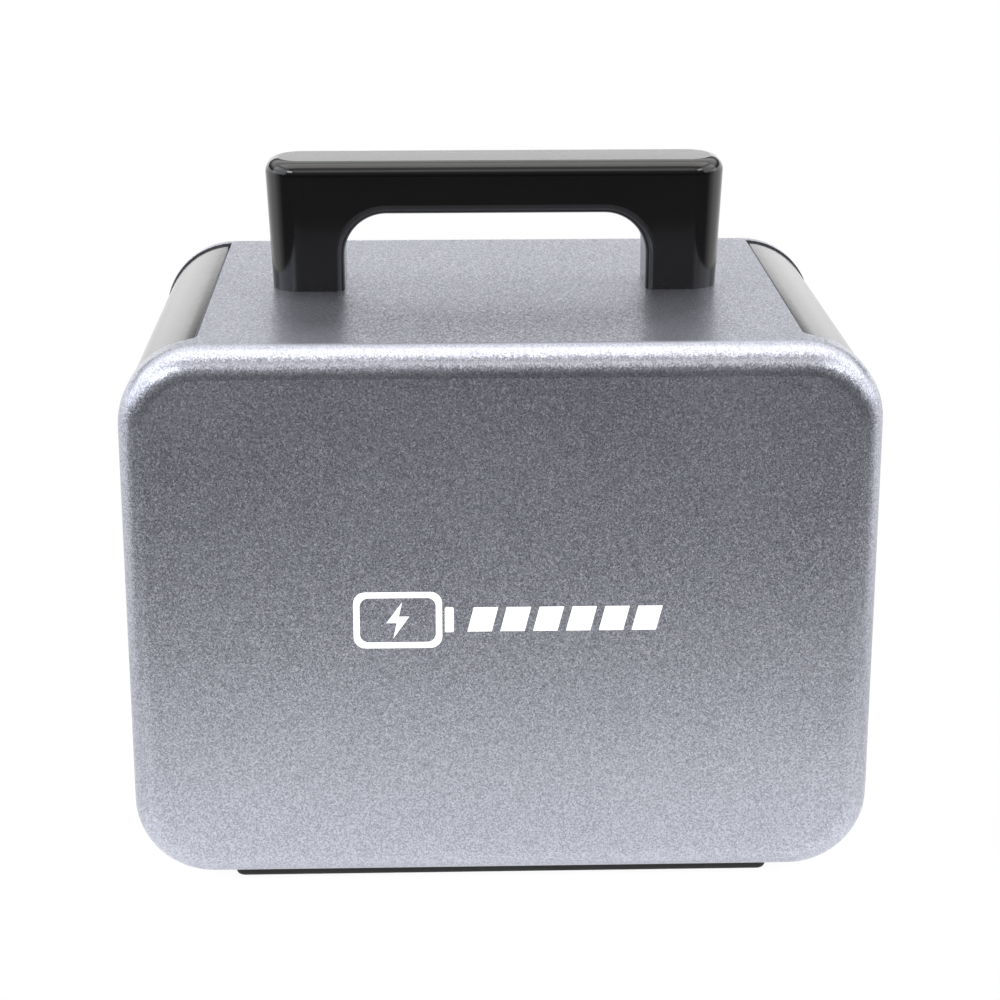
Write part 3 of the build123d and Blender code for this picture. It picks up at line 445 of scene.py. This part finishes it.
SLOT_MATERIALS = {
    "shell_paint": shell_paint,
    "side_gloss": lambda: moulded("side_gloss", (0.010, 0.010, 0.011), 0.13, 500, 0.000006),
    "handle_black": lambda: moulded("handle_black", (0.003, 0.003, 0.003), 0.13, 2200, 0.00001, ior=1.58),
    "foot_rubber": lambda: moulded("foot_rubber", (0.012, 0.012, 0.013), 0.6, 1200, 0.00004),
    "panel_black": lambda: moulded("panel_black", (0.022, 0.022, 0.024), 0.42, 1500, 0.00004),
    "screw_steel": lambda: metal("screw_steel", (0.55, 0.55, 0.56), 0.3),
    "screw_black": lambda: metal("screw_black", (0.06, 0.06, 0.065), 0.35),
    "display_glass": clear_window,
    "lcd": lambda: moulded("lcd", (0.03, 0.045, 0.05), 0.25, 700, 0.000004),
    "button_grey": lambda: moulded("button_grey", (0.12, 0.125, 0.135), 0.45, 1500, 0.00003),
    "socket_black": lambda: moulded("socket_black", (0.014, 0.014, 0.015), 0.35, 1300, 0.00002),
    "contact_brass": lambda: metal("contact_brass", (0.75, 0.56, 0.27), 0.28),
    "clip_steel": lambda: metal("clip_steel", (0.62, 0.62, 0.60), 0.25, (0.1, 1, 1)),
    "usb_steel": lambda: metal("usb_steel", (0.62, 0.62, 0.64), 0.25, (1, 0.1, 1)),
    "usb_tongue": lambda: moulded("usb_tongue", (0.015, 0.08, 0.42), 0.4),
    "jack_black": lambda: moulded("jack_black", (0.015, 0.015, 0.016), 0.3),
    "cover_rubber": lambda: moulded("cover_rubber", (0.020, 0.020, 0.021), 0.62, 1300, 0.00005),
    "cell_sleeve": lambda: moulded("cell_sleeve", (0.03, 0.32, 0.36), 0.3, 400, 0.00001),
    "holder_black": lambda: moulded("holder_black", (0.03, 0.03, 0.03), 0.5),
    "nickel": lambda: metal("nickel", (0.62, 0.59, 0.53), 0.3, (1, 1, 0.1)),
    "insulator": lambda: moulded("insulator", (0.45, 0.40, 0.26), 0.8, 600, 0.00005),
    "strap_tape": lambda: moulded("strap_tape", (0.55, 0.47, 0.25), 0.6, 600, 0.00003),
    "tray_plastic": lambda: moulded("tray_plastic", (0.04, 0.04, 0.04), 0.5),
    "pcb_green": lambda: moulded("pcb_green", (0.01, 0.12, 0.05), 0.35, 500, 0.00002),
    "aluminium": lambda: metal("aluminium", (0.72, 0.72, 0.73), 0.35, (0.1, 1, 1)),
    "ferrite": lambda: moulded("ferrite", (0.04, 0.04, 0.042), 0.55),
    "winding": lambda: metal("winding", (0.62, 0.28, 0.10), 0.35, (1, 1, 0.1)),
    "capacitor_sleeve": lambda: moulded("capacitor_sleeve", (0.02, 0.02, 0.05), 0.3),
    "lead_red": lambda: moulded("lead_red", (0.42, 0.012, 0.012), 0.45),
    "lead_black": lambda: moulded("lead_black", (0.015, 0.015, 0.015), 0.45),
    "fan_black": lambda: moulded("fan_black", (0.02, 0.02, 0.02), 0.45),
}


def dress_cad_nodes():
    """Gives every CAD node the material of its slot in the record."""
    made = {slot: build() for slot, build in SLOT_MATERIALS.items()}
    for entry in frame["record"]["subparts"]:
        node = frame["nodes"][entry["node"]]
        node.data.materials.clear()
        node.data.materials.append(made[entry["material_slot"]])


# ---------------------------------------------------------------- printed marks

def print_or_painted_light(name, colour, glow=0.0):
    """Flat ink, or painted shade when given near black; with glow, a lit display segment, or a painted glow
    on printed marks.
    """
    material, tree, shader = new_material(name)
    fine = noise(tree, 1400, 2.0)
    darker = tuple(c * 0.92 for c in colour)
    tree.join(tree.ramp(fine, [(0.35, darker), (0.65, colour)]), shader.inputs["Base Color"])
    shader.inputs["Roughness"].default_value = 0.45
    shader.inputs["Emission Color"].default_value = (*colour, 1)
    shader.inputs["Emission Strength"].default_value = glow
    return material


def rounded_loop(across, up, width, height, corner):
    """Points round a rectangle with rounded corners, anticlockwise, in millimetres."""
    points = []
    for quarter, (side_x, side_z) in enumerate(((1, 1), (-1, 1), (-1, -1), (1, -1))):
        centre = (across + side_x * (width / 2 - corner), up + side_z * (height / 2 - corner))
        for step in range(CORNER_STEPS + 1):
            angle = math.radians(90 * (quarter + step / CORNER_STEPS))
            points.append((centre[0] + corner * math.cos(angle), centre[1] + corner * math.sin(angle)))
    return points


def round_loop(across, up, radius):
    """Points round a circle, anticlockwise, in millimetres."""
    turns = [2 * math.pi * step / ROUND_STEPS for step in range(ROUND_STEPS)]
    return [(across + radius * math.cos(t), up + radius * math.sin(t)) for t in turns]


def moved(points, across, up, scale):
    """Points scaled about the origin and then moved."""
    return [(across + scale * x, up + scale * z) for x, z in points]


class Print:
    """A flat mark on an upright plane: filled shapes and rings, in millimetres of the part."""

    def __init__(self, y, facing):
        self.mesh = bmesh.new()
        self.y = y
        self.facing = facing

    def corners(self, points):
        return [self.mesh.verts.new((x * MM, self.y, z * MM)) for x, z in points]

    def fill(self, points):
        self.mesh.faces.new(self.corners(points))

    def ring(self, outer, inner):
        outside = self.corners(outer)
        inside = self.corners(inner)
        count = len(outside)
        for i in range(count):
            j = (i + 1) % count
            self.mesh.faces.new((outside[i], outside[j], inside[j], inside[i]))

    def stroke(self, points, width):
        """A line of the given width along open points."""
        for (x0, z0), (x1, z1) in zip(points, points[1:]):
            length = math.hypot(x1 - x0, z1 - z0)
            off_x = -(z1 - z0) / length * width / 2
            off_z = (x1 - x0) / length * width / 2
            start = [(x0 + off_x, z0 + off_z), (x0 - off_x, z0 - off_z)]
            end = [(x1 - off_x, z1 - off_z), (x1 + off_x, z1 + off_z)]
            self.fill(start + end)

    def finish(self, name, material, body="case"):
        for face in self.mesh.faces:
            face.normal_update()
            if face.normal.y * self.facing < 0:
                face.normal_flip()
        data = bpy.data.meshes.new(name)
        self.mesh.to_mesh(data)
        self.mesh.free()
        piece = bpy.data.objects.new(name, data)
        scene.collection.objects.link(piece)
        data.materials.append(material)
        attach(piece, body)


def battery_outline(mark, across, up, width, height, line):
    """A battery symbol: rounded outline and a terminal on its right."""
    mark.ring(
        rounded_loop(across, up, width, height, height * 0.2),
        rounded_loop(across, up, width - 2 * line, height - 2 * line, height * 0.2 - line * 0.5),
    )
    mark.fill(rounded_loop(across + width / 2 + line * 1.1, up, line * 1.4, height * 0.45, line * 0.3))


def make_seam_shadows():
    """Painted shadow: dark strips in the gaps between the front rim and the two side panels, where there is
    only shade.
    """
    # The near-black flat colour on these strips is painted shade, not print.
    ink_or_shade = print_or_painted_light("seam_shadow", (0.004, 0.004, 0.005))
    for name, side in (("seam_shadow_left", -1), ("seam_shadow_right", 1)):
        mesh = bmesh.new()
        middle_z = (SHELL_LOW.z + SHELL_HIGH.z) / 2 / MM
        width = 2 * SHELL_HIGH.x / MM - 2 * SEAM_INSET
        height = BODY_HEIGHT - 2 * SEAM_INSET
        outline = rounded_loop(0, middle_z, width, height, BODY_CORNER - SEAM_INSET)
        path = [point for point in outline if side * point[0] > SIDE_WINDOW_X - 1]
        path.sort(key=lambda point: math.atan2(point[1] - middle_z, side * point[0]))
        for (x0, z0), (x1, z1) in zip(path, path[1:]):
            near, far = SEAM_Y
            corners = [(x0, near, z0), (x1, near, z1), (x1, far, z1), (x0, far, z0)]
            mesh.faces.new([mesh.verts.new(Vector(corner) * MM) for corner in corners])
        bmesh.ops.remove_doubles(mesh, verts=mesh.verts, dist=0.01 * MM)
        bmesh.ops.recalc_face_normals(mesh, faces=mesh.faces)
        data = bpy.data.meshes.new(name)
        mesh.to_mesh(data)
        mesh.free()
        piece = bpy.data.objects.new(name, data)
        scene.collection.objects.link(piece)
        data.materials.append(ink_or_shade)
        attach(piece, "case")


def make_front_mark():
    """A plain battery symbol with a row of charge bars, printed in white on the plain face; the white ink is
    given a painted glow.
    """
    mark = Print(FACE_Y - INK_RISE, -1)
    battery_outline(mark, MARK_X, MARK_Z, *MARK_SIZE, MARK_LINE)
    mark.fill(moved(BOLT, MARK_X, MARK_Z, MARK_BOLT))
    low, high = MARK_Z - BAR_HALF_HEIGHT, MARK_Z + BAR_HALF_HEIGHT
    for bar in range(MARK_BARS):
        left = BARS_LEFT + bar * BAR_PITCH
        right = left + BAR_WIDTH
        mark.fill([(left, low), (right, low), (right + BAR_SLANT, high), (left + BAR_SLANT, high)])
    # The white ink glows with strength 0.75 though it is no lamp: a painted glow.
    mark.finish("front_mark", print_or_painted_light("mark_white_painted_glow", (0.90, 0.90, 0.90), 0.75))


def add_wave(mark, across):
    """The alternating-current wave over an AC socket."""
    wave = []
    for step in range(WAVE_STEPS + 1):
        turn = step / (WAVE_STEPS / 2)
        wave.append((across + 4.0 * (turn - 1), WAVE_Z + 1.5 * math.sin(math.pi * turn)))
    mark.stroke(wave, 0.6)


def add_dc_label(mark, across):
    """The direct-current sign: a line over three dashes."""
    mark.fill(rounded_loop(across, DC_LABEL_Z + 0.9, 6.0, 0.6, 0.2))
    for dash in (-2.2, 0, 2.2):
        mark.fill(rounded_loop(across + dash, DC_LABEL_Z - 0.9, 1.5, 0.6, 0.2))


def add_usb_labels(mark):
    """An outline of each plug above its port."""
    for port_x in USB_A_X:
        outer = rounded_loop(port_x, USB_LABEL_Z, 5.0, 2.6, 0.4)
        mark.ring(outer, rounded_loop(port_x, USB_LABEL_Z, 4.2, 1.8, 0.2))
        mark.fill(rounded_loop(port_x, USB_LABEL_Z + 0.3, 3.2, 0.6, 0.1))
    outer = rounded_loop(USB_C_X, USB_LABEL_Z, 5.0, 2.4, 1.2)
    mark.ring(outer, rounded_loop(USB_C_X, USB_LABEL_Z, 4.2, 1.6, 0.8))


def add_sun(mark):
    """A sun above the charging input."""
    sun_x = INPUT_JACK[0]
    sun_z = INPUT_JACK[1] + SUN_RISE
    mark.fill(round_loop(sun_x, sun_z, 1.2))
    for ray in range(SUN_RAYS):
        angle = 2 * math.pi * ray / SUN_RAYS
        across, up = math.cos(angle), math.sin(angle)
        mark.stroke([(sun_x + reach * across, sun_z + reach * up) for reach in (1.9, 2.9)], 0.45)


def add_group_frame(mark, left, right, low, high):
    """A thin rounded frame round a group of sockets."""
    middle = ((left + right) / 2, (low + high) / 2)
    width, height = right - left, high - low
    inset = 2 * FRAME_LINE
    outer = rounded_loop(*middle, width, height, FRAME_CORNER)
    mark.ring(outer, rounded_loop(*middle, width - inset, height - inset, FRAME_CORNER - FRAME_LINE))


def make_panel_marks():
    """Small symbols beside the sockets and buttons of the control panel, printed in white with a faint
    painted glow.
    """
    mark = Print(PANEL_Y + INK_RISE, 1)
    for socket_x in AC_SOCKETS_X:
        add_wave(mark, socket_x)
    for label_x in DC_LABELS_X:
        add_dc_label(mark, label_x)
    add_usb_labels(mark)
    add_sun(mark)
    for edges in PANEL_GROUPS:
        add_group_frame(mark, *edges)
    outer_ring, inner_ring = BUTTON_RING
    for button_x, button_z in BUTTONS.values():
        mark.ring(round_loop(button_x, button_z, outer_ring), round_loop(button_x, button_z, inner_ring))
    # The white ink glows faintly though it is no lamp: a painted glow.
    mark.finish("panel_marks", print_or_painted_light("panel_white_painted_glow", (0.75, 0.75, 0.75), 0.1))


def make_button_marks():
    """A power symbol on each button cap."""
    ink_or_shade = print_or_painted_light("button_white", (0.75, 0.75, 0.75))
    for body, (button_x, button_z) in BUTTONS.items():
        mark = Print(BUTTON_Y + INK_RISE, 1)
        turns = [math.radians(degrees) for degrees in range(35, 326, 15)]
        arc = [(math.sin(turn), math.cos(turn)) for turn in turns]
        mark.stroke(moved(arc, button_x, button_z, POWER_RADIUS), POWER_LINE)
        mark.stroke([(button_x, button_z + 0.6), (button_x, button_z + 2.9)], POWER_LINE)
        mark.finish(body + "_mark", ink_or_shade, body)


def make_display():
    """Lit segments of the display: a battery gauge, three figures and two flow arrows."""
    mark = Print(LCD_Y + INK_RISE, 1)
    battery_outline(mark, GAUGE_X, DISPLAY_Z, 24.0, 12.0, 0.7)
    for bar in range(GAUGE_BARS):
        mark.fill(rounded_loop(12.9 + bar * 4.05, DISPLAY_Z, 3.0, 8.6, 0.5))
    for place, figure in zip(FIGURES_X, "100"):
        add_figure(mark, place, DISPLAY_Z, figure)
    for turn in (1, -1):
        base, tip = DISPLAY_Z + turn * 3.5, DISPLAY_Z + turn * 7.5
        mark.fill([(ARROWS_X - 3, base), (ARROWS_X + 3, base), (ARROWS_X, tip)])
    mark.finish("display_segments", print_or_painted_light("display_lit", (0.55, 0.85, 0.95), 1.6))


def add_figure(mark, across, up, figure):
    """One seven-segment figure; seen from behind the case, so X runs to the left."""
    half_w, half_h, bar = 2.6, 5.4, 1.0
    segments = {
        "top": rounded_loop(across, up + half_h, 2 * half_w - 1.2, bar, 0.2),
        "low": rounded_loop(across, up - half_h, 2 * half_w - 1.2, bar, 0.2),
        "left_up": rounded_loop(across + half_w, up + half_h / 2, bar, half_h - 1.2, 0.2),
        "left_low": rounded_loop(across + half_w, up - half_h / 2, bar, half_h - 1.2, 0.2),
        "right_up": rounded_loop(across - half_w, up + half_h / 2, bar, half_h - 1.2, 0.2),
        "right_low": rounded_loop(across - half_w, up - half_h / 2, bar, half_h - 1.2, 0.2),
    }
    lit = {"0": segments, "1": ("right_up", "right_low")}
    for segment in lit[figure]:
        mark.fill(segments[segment])


make_camera()
make_floor()
make_world()
make_lights()
dress_cad_nodes()
make_seam_shadows()
make_front_mark()
make_panel_marks()
make_button_marks()
make_display()
